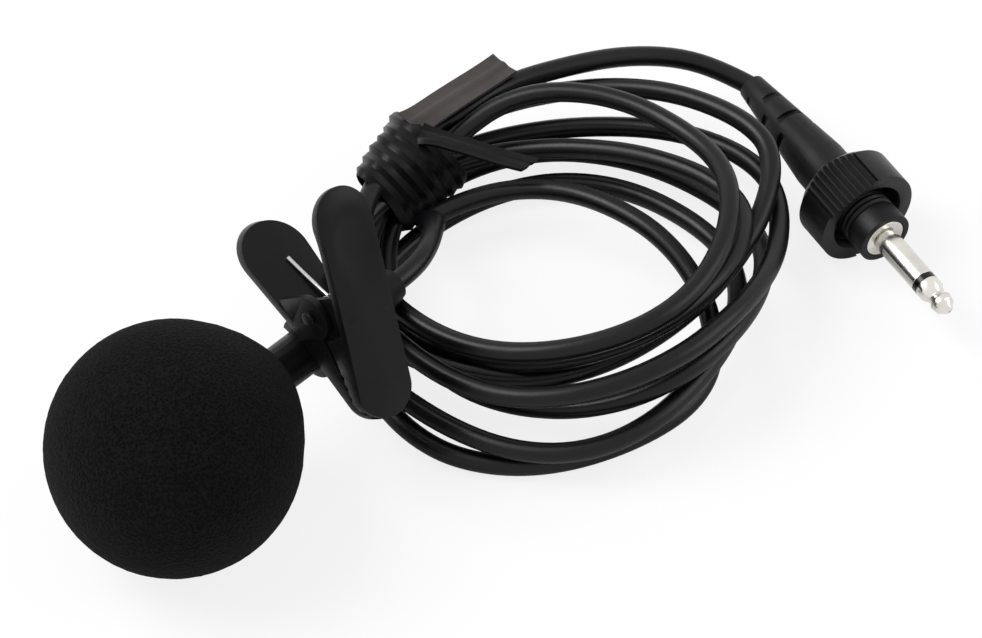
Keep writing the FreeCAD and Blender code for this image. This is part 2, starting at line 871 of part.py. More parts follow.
def makeCord():
    radius = size.cord_radius.value
    straight = 2 * radius
    stations = coilStations()
    ahead = Vector(1, 0, 0)
    entry = stations[0][0] - ahead * straight
    leaving = stations[-1][0] + ahead * straight
    coil = [Part.LineSegment(entry, stations[0][0]).toShape()]
    coil += biarcPath(stations)
    coil.append(Part.LineSegment(stations[-1][0], leaving).toShape())
    sweptPiece("cord_coil", coil, radius)
    print(f"cord_coil: least gap {leastGap(coil, radius):.2f}")
    micExit = (size.mic_x + size.neck_end + size.collar_length + size.relief_length).value
    micRoute = [(micExit, 0, size.mic_height.value)] + MIC_LEAD + [tuple(entry)]
    sweptPiece("cord_lead_mic", routeEdges(micRoute), radius)
    plugEntry = (size.plug_x.value, size.plug_y.value, size.plug_height.value)
    plugRoute = [tuple(leaving)] + PLUG_LEAD + [plugEntry]
    sweptPiece("cord_lead_plug", routeEdges(plugRoute), radius)


LONG_TAIL = [Vector(51.2, 20.4, 13.1), Vector(67.0, 18.6, 14.8)]
SHORT_TAIL = [Vector(51.4, 18.6, 12.9), Vector(56.1, 4.8, 14.7)]


def flatTail(start, stop, width, slant):
    """A flat strip from start to stop, whose far end is cut on a slant."""
    along = (stop - start).normalize()
    side = Vector(0, 0, 1).cross(along).normalize()
    corners = [
        start + side * (width / 2),
        start - side * (width / 2),
        stop - side * (width / 2),
        stop + side * (width / 2) - along * slant,
    ]
    face = Part.Face(Part.makePolygon(corners + corners[:1]))
    return face.extrude(along.cross(side) * size.tail_thickness.value)


def makeTie():
    """A wire-cored ribbon wound round the gathered cord, with two flat tails."""
    radius = size.tie_wire_radius.value
    loop = size.tie_loop_radius.value
    centre = tieCentre()
    pitch = size.tie_pitch.value
    climb = pitch / (2 * math.pi)
    turns = int(size.tie_turns.value)
    slope = math.hypot(loop, climb)

    def station(angle):
        along = climb * (angle - math.pi * turns)
        place = centre + Vector(along, loop * math.sin(angle), loop * math.cos(angle))
        return place, Vector(climb, loop * math.cos(angle), -loop * math.sin(angle)) / slope

    steps = 4 * turns
    stations = [station(2 * math.pi * turns * step / steps) for step in range(steps + 1)]
    straight = 2 * radius
    enter, leave = stations[0], stations[-1]
    edges = [Part.LineSegment(enter[0] - enter[1] * straight, enter[0]).toShape()]
    edges += biarcPath(stations)
    edges.append(Part.LineSegment(leave[0], leave[0] + leave[1] * straight).toShape())
    print(f"twist_tie: least gap {leastGap(edges, radius, 0.4):.2f}")
    tails = [
        flatTail(*LONG_TAIL, size.long_tail_width.value, size.long_tail_slant.value),
        flatTail(*SHORT_TAIL, size.short_tail_width.value, size.short_tail_slant.value),
    ]
    sweptPiece("twist_tie", edges, radius, tails)


# Plug: X runs along its axis, from the boot to the tip

def addNotches(body):
    """Rows of slots across the boot, on alternate sides, that let it bend."""
    rows = 5
    deep = size.body_radius * 2
    for row in range(rows):
        plane = "XY_Plane" if row % 2 == 0 else "XZ_Plane"
        start = size.notch_start + size.notch_pitch * row
        core = size.boot_radius + row * 0.12
        sketch = newSketch(body, plane, f"NotchRow{row + 1}")
        for side in (1, -1):
            drawOutline(sketch, [
                (start, core * side),
                (start + size.notch_width, core * side),
                (start + size.notch_width, deep * side),
                (start, deep * side),
            ])
        cutThrough(body, sketch, f"Notches{row + 1}")


def makeCover():
    wireRoom = size.wire_offset + size.wire_radius + size.fit_gap
    beadEnd = size.nut_start - size.fit_gap * 4
    body = turned("plug_cover", [
        (0, wireRoom),
        (0, size.boot_radius),
        (size.boot_length, size.body_radius),
        (beadEnd - size.bead_width, size.body_radius),
        (beadEnd - size.bead_width, size.bead_radius),
        (beadEnd, size.bead_radius),
        (beadEnd, size.body_radius),
        (size.body_end, size.body_radius),
        (size.body_end, size.body_bore_radius),
        (size.boot_bore_end + 1, size.body_bore_radius),
        (size.boot_bore_end, wireRoom),
    ], inPlug)
    addNotches(body)


def makeNose():
    """The threaded nose behind the collar, recessed for the shoulder of the sleeve."""
    threadStart = size.body_end + size.washer_depth + size.fit_gap * 2
    corners = [
        (size.nose_start, size.nose_bore_radius),
        (size.nose_start, size.body_bore_radius - size.fit_gap),
        (size.body_end, size.body_bore_radius - size.fit_gap),
        (size.body_end, size.nose_radius),
        (threadStart, size.nose_radius),
    ]
    threads = 5
    for thread in range(threads):
        peak = threadStart + size.thread_pitch * (thread + 1)
        valley = peak - size.thread_pitch / 2
        corners.append((valley, size.nose_radius - size.thread_depth))
        corners.append((peak, size.nose_radius))
    recess = size.nose_end - size.shoulder_depth
    corners += [
        (size.nose_end, size.nose_radius),
        (size.nose_end, size.shoulder_radius + size.fit_gap),
        (recess, size.shoulder_radius + size.fit_gap),
        (recess, size.nose_bore_radius),
    ]
    turned("plug_nose", corners, inPlug)


def nutOutline():
    """Two round lobes, and between them two flat panels with fine ribs."""
    lobe = size.nut_lobe_radius
    panel = size.nut_panel
    ribs = 9
    edge = size.rib_pitch * ribs / 2
    lift = math.sqrt(lobe.value ** 2 - edge.value ** 2) / lobe.value
    corners = []
    for side in (1, -1):
        corners.append((edge * side, lobe * lift * side))
        for rib in range(ribs):
            start = (edge - size.rib_pitch * rib) * side
            corners.append((start, panel * side))
            corners.append((start - size.rib_pitch * 0.5 * side, (panel + size.rib_height) * side))
        corners.append((-edge * side, panel * side))
        corners.append((-edge * side, lobe * lift * side, 0, 0, 1))
    return corners


def makeNut():
    body = newBody("lock_nut")
    start, length = size.nut_start, size.nut_length
    sketch = newSketch(body, "YZ_Plane", "NutOutline", start)
    sketch.AttachmentOffset = Placement(Vector(), Rotation(Vector(0, 0, 1), size.nut_turn.value))
    drawOutline(sketch, nutOutline())
    drawCircle(sketch, 0, 0, size.nut_bore_radius)
    padded(body, sketch, "NutBlank", length)
    end = start + length
    wall = start + size.nut_wall
    thread = size.nut_thread_radius
    corners = [(wall, size.nut_bore_radius - 1), (wall, thread)]
    for turn in range(3):
        peak = wall + size.thread_pitch * (turn + 1)
        valley = peak - size.thread_pitch / 2
        corners.append((valley, thread + size.thread_depth))
        corners.append((peak, thread))
    corners += [
        (end, size.nut_mouth_radius),
        (end + 1, size.nut_mouth_radius),
        (end + 1, size.nut_bore_radius - 1),
    ]
    grooved(body, "NutThread", [corners])
    chamfer = size.nut_chamfer
    outside = size.nut_lobe_radius
    grooved(body, "NutBack", [[
        (start - 1, outside - chamfer - 1),
        (start + chamfer + 1, outside + 1),
        (start - 1, outside + 1),
    ]])
    finish(body, inPlug)


def makeContacts():
    """The shouldered sleeve, the ring that insulates it, and the tip on its rod."""
    contact = size.contact_radius
    root = size.contact_root_radius
    bore = size.contact_bore_radius
    shoulderStart = size.nose_end - size.shoulder_depth
    undercutEnd = size.nose_end + size.contact_undercut
    turned("plug_sleeve", [
        (size.contact_rear, bore),
        (size.contact_rear, root),
        (shoulderStart, root),
        (shoulderStart, size.shoulder_radius),
        (size.nose_end, size.shoulder_radius),
        (size.nose_end, root),
        (undercutEnd, root),
        (undercutEnd, contact),
        (size.sleeve_end, contact),
        (size.sleeve_end, bore),
    ], inPlug)
    ringEnd = size.sleeve_end + size.insulator_depth
    rodRoom = size.rod_radius + size.fit_gap
    insulatorOutside = bore - size.fit_gap
    turned("plug_insulator", [
        (size.contact_rear, rodRoom),
        (size.contact_rear, insulatorOutside),
        (size.sleeve_end, insulatorOutside),
        (size.sleeve_end, contact),
        (ringEnd, contact),
        (ringEnd, rodRoom),
    ], inPlug)
    end = size.tip_end
    turned("plug_tip", [
        (size.rod_rear, 0),
        (size.rod_rear, size.rod_radius),
        (ringEnd, size.rod_radius),
        (ringEnd, contact),
        (ringEnd + 1.2, contact),
        (end - 3.0, size.tip_waist_radius),
        (end - 2.2, size.tip_bulb_radius),
        (end - 1.2, size.tip_bulb_radius - 0.15),
        (end - 0.3, size.rod_radius),
        (end, 0),
    ], inPlug)


def makePlugInside():
    depth = size.washer_depth
    edge = size.contact_root_radius
    rearInsulator = size.contact_rear - depth
    lugBore = size.rod_radius + size.fit_gap
    sleeveBore = lugBore + size.fit_gap * 4
    tube("tip_spacer", rearInsulator - depth, rearInsulator, lugBore, edge, inPlug)
    tube("sleeve_lug", rearInsulator, size.contact_rear, sleeveBore, edge, inPlug)
    tube("tip_lug", size.rod_rear, size.rod_rear + depth, lugBore, edge, inPlug)
    wireRoom = size.wire_offset + size.wire_radius + size.fit_gap
    crimpEdge = size.body_bore_radius - size.fit_gap
    crimpStart = size.boot_bore_end + size.crimp_inset
    tube("plug_crimp", crimpStart, crimpStart + size.plug_crimp_length, wireRoom, crimpEdge, inPlug)
    wirePair("plug_wires", 0, size.rod_rear - size.wire_end_gap, inPlug)
    washerStart = size.body_end + size.fit_gap
    washerStop = washerStart + size.washer_depth
    tube("nut_washer", washerStart, washerStop, size.nose_radius, size.washer_radius, inPlug)


makeWindscreen()
makeMicrophone()
makeClip()
makeCord()
makeTie()
makeCover()
makeNose()
makeNut()
makeContacts()
makePlugInside()
document.recompute()

for item in document.Objects:
    if "Invalid" in item.State or "Error" in item.State:
        raise RuntimeError(f"{item.Name} failed: {item.State}")
os.makedirs("parts", exist_ok=True)
for piece in pieces:
    shape = piece.Shape
    if shape.isNull() or not shape.isValid():
        raise RuntimeError(f"{piece.Name} has no valid shape")
    shape.exportStep(f"parts/{piece.Name}.step")
    print(f"{piece.Name}: {len(shape.Solids)} solid, volume {shape.Volume:.1f}")
print(len(pieces), "sub-parts")
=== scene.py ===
import math

import bpy
from mathutils import Matrix, Vector


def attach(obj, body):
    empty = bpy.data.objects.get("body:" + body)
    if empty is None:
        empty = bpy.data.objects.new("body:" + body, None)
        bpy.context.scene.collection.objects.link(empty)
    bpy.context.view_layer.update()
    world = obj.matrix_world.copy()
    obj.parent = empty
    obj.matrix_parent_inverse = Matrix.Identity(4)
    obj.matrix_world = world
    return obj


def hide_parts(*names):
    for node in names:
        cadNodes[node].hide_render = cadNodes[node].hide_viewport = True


# A clip-on microphone with its cord, lying on a white table.
# Lengths in the settings are in millimetres.

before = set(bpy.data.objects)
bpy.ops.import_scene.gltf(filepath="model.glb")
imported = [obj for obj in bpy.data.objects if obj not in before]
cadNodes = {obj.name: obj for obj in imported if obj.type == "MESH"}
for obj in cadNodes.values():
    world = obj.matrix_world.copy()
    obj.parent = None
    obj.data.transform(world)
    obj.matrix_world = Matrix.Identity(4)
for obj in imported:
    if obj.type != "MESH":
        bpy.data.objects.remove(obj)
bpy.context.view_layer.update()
mm = 0.001
smoothAngle = math.radians(40)
print("frame loaded")


def selectOnly(piece):
    bpy.ops.object.select_all(action="DESELECT")
    piece.select_set(True)
    bpy.context.view_layer.objects.active = piece


def applyModifiers(piece):
    selectOnly(piece)
    for modifier in list(piece.modifiers):
        bpy.ops.object.modifier_apply(modifier=modifier.name)


def settle(piece):  # puts the place into the mesh
    selectOnly(piece)
    bpy.ops.object.transform_apply(location=True, rotation=True, scale=True)


# Camera

camera = {
    "target": (42.2, -3.4, 0.0),
    "distance": 560.0,
    "elevation": 50.0,
    "turn": -45.0,
    "lens": 151.9,
}


def addCamera():
    turn = math.radians(camera["turn"])
    elevation = math.radians(camera["elevation"])
    level = math.cos(elevation)
    back = Vector((math.sin(turn) * level, -math.cos(turn) * level, math.sin(elevation)))
    place = (Vector(camera["target"]) + back * camera["distance"]) * mm
    bpy.ops.object.camera_add(location=place, rotation=(math.pi / 2 - elevation, 0, turn))
    eye = bpy.context.object
    eye.name = "photoCamera"
    eye.data.lens = camera["lens"]
    eye.data.sensor_width = 36
    eye.data.sensor_fit = "HORIZONTAL"
    eye.data.clip_start = 0.01
    bpy.context.scene.camera = eye


addCamera()
print("camera placed")


# Shader maths

class Wire:
    def __init__(self, graph, socket):
        self.graph = graph
        self.socket = socket

    def maths(self, operation, first, second):
        return self.graph.node("ShaderNodeMath", {"operation": operation}, {0: first, 1: second})

    def __add__(self, other):
        return self.maths("ADD", self, other)

    def __sub__(self, other):
        return self.maths("SUBTRACT", self, other)

    def __mul__(self, other):
        return self.maths("MULTIPLY", self, other)

    def __rsub__(self, other):
        return self.maths("SUBTRACT", other, self)

    __radd__ = __add__
    __rmul__ = __mul__

    def between(self, low, high):
        return self.graph.node("ShaderNodeMapRange", {"clamp": True}, {0: self, 1: low, 2: high})


class Graph:
    def __init__(self, name):
        self.material = bpy.data.materials.new(name)
        self.material.use_nodes = True
        self.tree = self.material.node_tree
        self.tree.nodes.clear()

    def node(self, kind, settings=None, inputs=None, output=0):
        made = self.tree.nodes.new(kind)
        for key, value in (settings or {}).items():
            setattr(made, key, value)
        for key, value in (inputs or {}).items():
            if isinstance(value, Wire):
                self.tree.links.new(value.socket, made.inputs[key])
            else:
                made.inputs[key].default_value = value
        return Wire(self, made.outputs[output])

    def place(self):
        return self.node("ShaderNodeTexCoord", output="Object")

    def noise(self, scale, detail, rough):
        inputs = {"Vector": self.place(), "Scale": scale, "Detail": detail, "Roughness": rough}
        return self.node("ShaderNodeTexNoise", inputs=inputs)

    def cells(self, scale):
        return self.node("ShaderNodeTexVoronoi", inputs={"Vector": self.place(), "Scale": scale})

    def shades(self, factor, dark, light):
        inputs = {0: factor, 6: (*dark, 1), 7: (*light, 1)}
        return self.node("ShaderNodeMix", {"data_type": "RGBA"}, inputs, 2)

    def bump(self, height, depth, strength):
        return self.node("ShaderNodeBump", inputs={"Height": height, "Distance": depth, "Strength": strength})

    def surface(self, **inputs):
        named = {key.replace("_", " "): value for key, value in inputs.items()}
        shader = self.node("ShaderNodeBsdfPrincipled", inputs=named)
        return self.finished(shader)

    def finished(self, shader):
        output = self.tree.nodes.new("ShaderNodeOutputMaterial")
        self.tree.links.new(shader.socket, output.inputs["Surface"])
        return self.material


# Materials

finish = {
    "foamDark": (0.0012, 0.0012, 0.0014),
    "foamLight": (0.0085, 0.0083, 0.0090),
    "clipDark": (0.0016, 0.0016, 0.0018),
    "clipLight": (0.0046, 0.0046, 0.0053),
    "cordDark": (0.0015, 0.0015, 0.0019),
    "cordLight": (0.0046, 0.0046, 0.0056),
    "ribbonDark": (0.0260, 0.0220, 0.0205),
    "ribbonLight": (0.0660, 0.0560, 0.0530),
    "mouldedDark": (0.0018, 0.0018, 0.0020),
    "mouldedLight": (0.0062, 0.0060, 0.0064),
    "nickel": (0.78, 0.76, 0.71),
    "steel": (0.55, 0.55, 0.56),
    "copper": (0.72, 0.42, 0.25),
    "board": (0.03, 0.16, 0.06),
}

# Cells, strands, patches, brush marks and worn places per metre, and depths in metres
openFoam = {"pores": 2600, "strands": 1900, "patches": 220, "depth": 0.00022, "sheen": 0.02}
wearScale = 90
polish = {"brushed": 3000, "worn": 260, "depth": 0.00001, "wornShade": 0.75}


def foamMaterial():
    graph = Graph("openCellFoam")
    pores = graph.cells(openFoam["pores"]).between(0.0, 0.75)
    strands = graph.noise(openFoam["strands"], 4, 0.65)
    patches = graph.noise(openFoam["patches"], 3, 0.5)
    tone = (pores * 0.45 + strands * 0.35 + patches * 0.2).between(0.3, 0.85)
    height = pores * 0.5 + strands * 0.5
    return graph.surface(
        Base_Color=graph.shades(tone, finish["foamDark"], finish["foamLight"]),
        Roughness=1.0,
        Specular_IOR_Level=0.02,
        Sheen_Weight=openFoam["sheen"],
        Sheen_Roughness=0.6,
        Normal=graph.bump(height, openFoam["depth"], 0.9),
    )


def blackMaterial(name, dark, light, rough, grain, depth, specular):
    graph = Graph(name)
    fine = graph.noise(grain, 5, 0.6)
    wear = graph.noise(wearScale, 3, 0.55).between(0.35, 0.7)
    return graph.surface(
        Base_Color=graph.shades(fine * 0.5 + wear * 0.5, finish[dark], finish[light]),
        Roughness=(fine * 0.16 + wear * 0.1 + (rough - 0.13)).between(0, 1),
        Specular_IOR_Level=specular,
        Normal=graph.bump(fine, depth, 0.6),
    )


def metalMaterial(name, shade, rough):
    graph = Graph(name)
    brushed = graph.noise(polish["brushed"], 4, 0.6)
    worn = graph.noise(polish["worn"], 3, 0.5).between(0.3, 0.75)
    darker = tuple(part * polish["wornShade"] for part in finish[shade])
    return graph.surface(
        Base_Color=graph.shades(worn, finish[shade], darker),
        Metallic=1.0,
        Roughness=brushed * 0.16 + worn * 0.08 + (rough - 0.1),
        Normal=graph.bump(brushed, polish["depth"], 0.4),
    )


# A black has its dark and light, roughness, grain per metre, grain depth in metres and specular
materials = {
    "foam": foamMaterial(),
    "clip": blackMaterial("clipEnamel", "clipDark", "clipLight", 0.38, 1500, 0.00002, 0.17),
    "cord": blackMaterial("cordJacket", "cordDark", "cordLight", 0.34, 2200, 0.00002, 0.24),
    "ribbon": blackMaterial("ribbonPlastic", "ribbonDark", "ribbonLight", 0.4, 900, 0.00004, 0.25),
    # A darker copy of the ribbon plastic, painted shade, for the tie's faces that the light misses
    "wound": blackMaterial("ribbonShadedCopy", "cordDark", "clipLight", 0.4, 900, 0.00004, 0.14),
    "moulded": blackMaterial("plugMoulding", "mouldedDark", "mouldedLight", 0.45, 2600, 0.00004, 0.2),
    "collar": blackMaterial("collarPaint", "mouldedDark", "mouldedLight", 0.4, 2000, 0.00003, 0.3),
    "housing": blackMaterial("anodisedTube", "clipDark", "mouldedLight", 0.4, 1800, 0.00002, 0.2),
    "glossy": blackMaterial("glossyBlack", "clipDark", "clipLight", 0.22, 1200, 0.00001, 0.3),
    "soft": blackMaterial("softRubber", "cordDark", "cordLight", 0.6, 2400, 0.00003, 0.15),
    "felt": blackMaterial("feltCloth", "foamDark", "foamLight", 0.95, 5000, 0.00008, 0.1),
    "nickel": metalMaterial("nickelPlate", "nickel", 0.2),
    "steel": metalMaterial("springSteel", "steel", 0.3),
    "copper": metalMaterial("copperWire", "copper", 0.35),
    "board": blackMaterial("boardLaminate", "board", "board", 0.5, 1500, 0.00002, 0.4),
}
print("materials made")


# Cord: one smooth curve from the microphone, round the coil, to the plug

cord = {
    "radius": 1.4,
    "smoothness": 5,
    "roundness": 6,
    "pointsPerQuarter": 6,
    "tie": (48.5, 19.3, 6.9),
    "bundleRadius": 3.88,
    "ringPlaces": 7,
    "passes": (-2, 0, 1, -1, None, 2, -3, 3),  # places in the tie, None for the middle
    "exit": (27.9, 0.0, 16.6),
    "micLead": [
        (31.1, 0.0, 16.6),
        (35.4, 1.6, 16.0),
        (39.6, 4.9, 13.4),
        (43.5, 8.3, 10.2),
    ],
    "plugLead": [
        (57.5, 17.6, 12.9),
        (65.7, 17.5, 12.9),
        (74.5, 14.2, 12.4),
        (82.0, 10.6, 11.6),
        (88.2, 6.0, 10.2),
        (92.0, 1.0, 8.4),
    ],
    "plug": (93.5, -3.5, 7.3),
    "right": [65.5, 72.5, 76, 72.5, 80.5, 82, 75],
    "left": [22, 19, 31.5, 30.5, 18, 22, 21],
    "middleRight": [-12, -15, -14, -14.5, -16, -11.5, -3.5],
    "middleLeft": [-13, 1.5, -11, 5, 4, -1.5, 2],
    "near": [-34, -35.5, -35.5, -29.5, -34.5, -29.5, -32],
    "heightRight": [10.5, 2, 2, 12, 8, 14, 18],
    "heightNear": [1.6, 6.5, 11.5, 15.5, 15, 10, 19],
    "heightLeft": [1.6, 5, 2, 5.5, 8.5, 8, 12],
    # Every eighth of a turn, how far the cord is moved to lie as in the photograph
    "moves": [
        (-8, -4, -1.2), (-4.3, -2.3, -0.5), (-2.9, 0.5, -0.4), (0.1, -0.8, -1.2),
        (2.1, 0.4, 0.4), (-0.6, 1.3, 0.2), (-2.1, 0.3, 0.1), (-2.7, -3, -0.8),
        (-1.7, -6.1, -1.5), (0.7, -4.7, 0.2), (-0.5, -0.5, 1.3), (-1.5, 0.4, 1.3),
        (-1.5, 0.5, 0.8), (-0.2, -1.9, -0.5), (2.6, -3, -0.5), (2.1, -4, -1.9),
        (1.5, -5.1, -1.7), (2.5, -3.8, -0.2), (2.1, -0.8, 0.8), (0.1, 1.3, 0.5),
        (-1.9, 1.1, -0.6), (-1.1, 0.9, -0.1), (-2.2, 3.4, 0.6), (-0.9, 1.7, 0.7),
        (1.1, 1, 1.4), (-0.7, 0.4, 0), (0.9, -1.3, 0.3), (0.7, -0.6, 0.6),
        (-0.4, -0, 0.2), (-2.2, 0.7, -0.3), (-1.3, 0.1, -0.3), (-0.9, 0.2, -0.5),
        (-0.5, 0.8, -1.9), (0.7, 0.5, -1.7), (2, 2, 0.4), (0.1, 0.8, -0.7),
        (1.7, -0.2, 0.5), (2.1, -1.5, 0.9), (6.5, -5, 2), (7.6, -4.9, -0),
        (6.2, -2.5, 0.1), (3.4, -2.2, -1.1), (2, -0.6, -1), (2, 1.8, -0.5),
        (1.5, 3, -1), (2.1, 3, -1.4), (2.8, 4, -0.6), (1, 0.8, 0.8),
        (-0.8, -1.9, 0.5), (-3.2, 1.7, 0.8), (-1.6, 0.1, -0.9), (2.1, 2.2, 0.3),
        (1.8, 2, -0.6), (2.4, 3, -0.3), (6.3, 1.5, 1.1), (8.8, 0.1, 2.5),
        (9.1, -1.5, 0.4),
    ],
    "length": 1250.3,
}


def cordPass(number):
    x, y, z = cord["tie"]
    if number is None:
        return Vector((x, y, z))
    turn = 2 * math.pi / cord["ringPlaces"] * number - math.pi / 2
    radius = cord["bundleRadius"]
    return Vector((x, y + radius * math.cos(turn), z + radius * math.sin(turn)))


def coilMove(station):  # a smooth curve through the moves
    moves = cord["moves"]
    before = int(station)
    part = station - before
    weights = (
        -0.5 * part + part ** 2 - 0.5 * part ** 3,
        1 - 2.5 * part ** 2 + 1.5 * part ** 3,
        0.5 * part + 2 * part ** 2 - 1.5 * part ** 3,
        -0.5 * part ** 2 + 0.5 * part ** 3,
    )
    move = Vector()
    for step, weight in enumerate(weights, start=before - 1):
        move += weight * Vector(moves[min(max(step, 0), len(moves) - 1)])
    return move


def coilPoints():
    passes = [cordPass(number) for number in cord["passes"]]
    points = []
    for turn in range(len(passes) - 1):
        right, left = cord["right"][turn], cord["left"][turn]
        corners = [
            passes[turn],
            Vector((right, cord["middleRight"][turn], cord["heightRight"][turn])),
            Vector(((right + left) / 2, cord["near"][turn], cord["heightNear"][turn])),
            Vector((left, cord["middleLeft"][turn], cord["heightLeft"][turn])),
            passes[turn + 1],
        ]
        for quarter in range(4):
            start, stop = corners[quarter], corners[quarter + 1]
            reach = stop - start
            for step in range(cord["pointsPerQuarter"]):
                share = (step + 0.5) / cord["pointsPerQuarter"]
                swing = math.pi / 2 * share
                grow, fall = math.sin(swing), 1 - math.cos(swing)
                easeX, easeY = (grow, fall) if quarter % 2 == 0 else (fall, grow)
                rise = (1 - math.cos(2 * swing)) / 2
                place = start + Vector((reach.x * easeX, reach.y * easeY, reach.z * rise))
                points.append(place + coilMove(8 * turn + 2 * (quarter + share)))
    return points


def makeCord():
    points = [Vector(cord["exit"])] + [Vector(place) for place in cord["micLead"]]
    points += coilPoints()
    points += [Vector(place) for place in cord["plugLead"]] + [Vector(cord["plug"])]
    curve = bpy.data.curves.new("cord", "CURVE")
    curve.dimensions = "3D"
    spline = curve.splines.new("NURBS")
    spline.points.add(len(points) - 1)
    for point, place in zip(spline.points, points):
        point.co = (*(place * mm), 1)
    spline.order_u = 3
    spline.use_endpoint_u = True
    spline.resolution_u = cord["smoothness"]
    curve.bevel_depth = cord["radius"] * mm
    curve.bevel_resolution = cord["roundness"]
    curve.use_fill_caps = True
    curve.materials.append(materials["cord"])
    piece = bpy.data.objects.new("cord", curve)
    bpy.context.collection.objects.link(piece)
    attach(piece, "microphone")
    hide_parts("cord_lead_mic", "cord_coil", "cord_lead_plug")
    return piece


cordPiece = makeCord()
print("cord laid")


# Pieces dressed from the frame's own nodes: body, material, slot, bevel and the angle it starts at

dressing = {
    "clip_upper_jaw": ("upper_jaw", "clip", "clip_black", 0.35, 24),
    "clip_lower_jaw": ("clip", "clip", "clip_black", 0.35, 24),
    "hinge_pin": ("clip", "clip", "clip_black", 0.12, 30),
    "plug_cover": ("microphone", "moulded", "plug_moulding", 0.15, 30),
    "plug_nose": ("microphone", "moulded", "black_plastic", 0.08, 30),
    "lock_nut": ("lock_collar", "collar", "black_metal", 0.12, 30),
    "plug_sleeve": ("microphone", "nickel", "bright_plating", 0.08, 30),
    "plug_insulator": ("microphone", "glossy", "black_plastic", 0.0, 30),
    "plug_tip": ("microphone", "nickel", "bright_plating", 0.06, 40),
    "capsule_housing": ("microphone", "housing", "black_metal", 0.12, 30),
    "rear_collar": ("microphone", "housing", "black_metal", 0.1, 30),
    "strain_relief": ("microphone", "soft", "soft_black", 0.2, 30),
}
edging = {"merge": 0.002, "flatAngle": 0.5, "segments": 3, "smooth": 35}


def dress(node, body, material, slot, bevel, angle):
    mesh = cadNodes[node].data.copy()
    piece = bpy.data.objects.new(node + "Dressed", mesh)
    bpy.context.collection.objects.link(piece)
    selectOnly(piece)
    bpy.ops.object.mode_set(mode="EDIT")
    bpy.ops.mesh.select_all(action="SELECT")
    bpy.ops.mesh.remove_doubles(threshold=edging["merge"] * mm)
    bpy.ops.mesh.dissolve_limited(angle_limit=math.radians(edging["flatAngle"]))
    bpy.ops.object.mode_set(mode="OBJECT")
    if bevel:
        edge = piece.modifiers.new("edges", "BEVEL")
        edge.width = bevel * mm
        edge.segments = edging["segments"]
        edge.limit_method = "ANGLE"
        edge.angle_limit = math.radians(angle)
        applyModifiers(piece)
    selectOnly(piece)
    bpy.ops.object.shade_smooth_by_angle(angle=math.radians(edging["smooth"]))
    mesh.materials.clear()
    mesh.materials.append(materials[material])
    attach(piece, body)
    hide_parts(node)
    return piece


dressed = {node: dress(node, *values) for node, values in dressing.items()}

# The upper paddle's pressed shape: a domed plate with a shallow dish for the finger
paddle = {
    "drop": 1.5,
    "flat": 0.3,
    "curve": 2.2,
    "dish": 0.55,
    "dishPlace": 7.0,
    "dishReach": (4.2, 2.6),
    "grid": (1.5, 0.45),
    "plate": 1.4,  # the depth that is pressed in full
    "fade": 3.5,  # and the depth over which the press fades below it
}


def pressPaddle(piece):
    mesh = piece.data
    top = max(mesh.polygons, key=lambda face: face.area)
    corners = [mesh.vertices[index].co.copy() for index in top.vertices]
    normal = top.normal.copy()
    pairs = [(first, second) for first in corners for second in corners]
    ends = max(pairs, key=lambda pair: (pair[0] - pair[1]).length)
    along = (ends[0] - ends[1]).normalized()
    if along.y < 0:
        along.negate()
    side = normal.cross(along).normalized()
    middle = (ends[0] + ends[1]) / 2
    reach = (ends[0] - ends[1]).length / 2
    half = max(abs((corner - middle).dot(side)) for corner in corners)
    selectOnly(piece)
    bpy.ops.object.mode_set(mode="EDIT")
    for axis, size, step in ((along, reach, paddle["grid"][0] * mm), (side, half, paddle["grid"][1] * mm)):
        count = int(size / step)
        for number in range(-count, count + 1):
            bpy.ops.mesh.select_all(action="SELECT")
            bpy.ops.mesh.bisect(plane_co=middle + axis * number * step, plane_no=axis)
    bpy.ops.object.mode_set(mode="OBJECT")
    for vertex in mesh.vertices:
        place = vertex.co - middle
        lengthwise, across, depth = place.dot(along), place.dot(side), place.dot(normal) / mm
        beyond = max(0, lengthwise - (reach - half))
        rim = math.hypot(across, beyond) / half
        drop = paddle["drop"] * max(0, (rim - paddle["flat"]) / (1 - paddle["flat"])) ** paddle["curve"]
        long, wide = paddle["dishReach"]
        lengthShare = (lengthwise / mm - paddle["dishPlace"]) / long
        acrossShare = across / mm / wide
        dish = math.exp(-(lengthShare ** 2 + acrossShare ** 2) ** 2)
        share = min(max(1 + (depth + paddle["plate"]) / paddle["fade"], 0), 1)
        vertex.co -= normal * (drop + paddle["dish"] * dish) * share * mm
    selectOnly(piece)
    bpy.ops.object.shade_smooth_by_angle(angle=smoothAngle)


pressPaddle(dressed["clip_upper_jaw"])
print("hard pieces dressed")

# Nodes that keep their own shape
kept = {
    "front_grille": "steel",
    "dust_felt": "felt",
    "electret_capsule": "nickel",
    "capsule_seal": "soft",
    "fet_board": "board",
    "board_wires": "copper",
    "cord_crimp": "copper",
    "tip_spacer": "glossy",
    "sleeve_lug": "copper",
    "tip_lug": "copper",
    "plug_crimp": "copper",
    "plug_wires": "copper",
    "nut_washer": "soft",
}
for node, material in kept.items():
    slots = cadNodes[node].data.materials
    slots.clear()
    slots.append(materials[material])


# Windscreen: a foam ball that narrows to a short collar

foam = {
    "middle": (-11.2, 0.0, 16.6),
    "radius": 16.55,
    "segments": 192,
    "rings": 120,
    "shoulder": (11.0, 12.4),
    "collar": [(13.0, 10.5), (14.8, 8.4), (16.1, 6.4), (16.8, 5.2)],
    "boreRadius": 4.55,
    "boreDepth": 26.0,
    "lip": 0.05,
    "grain": 0.12,
    "grainSize": 0.7,
}


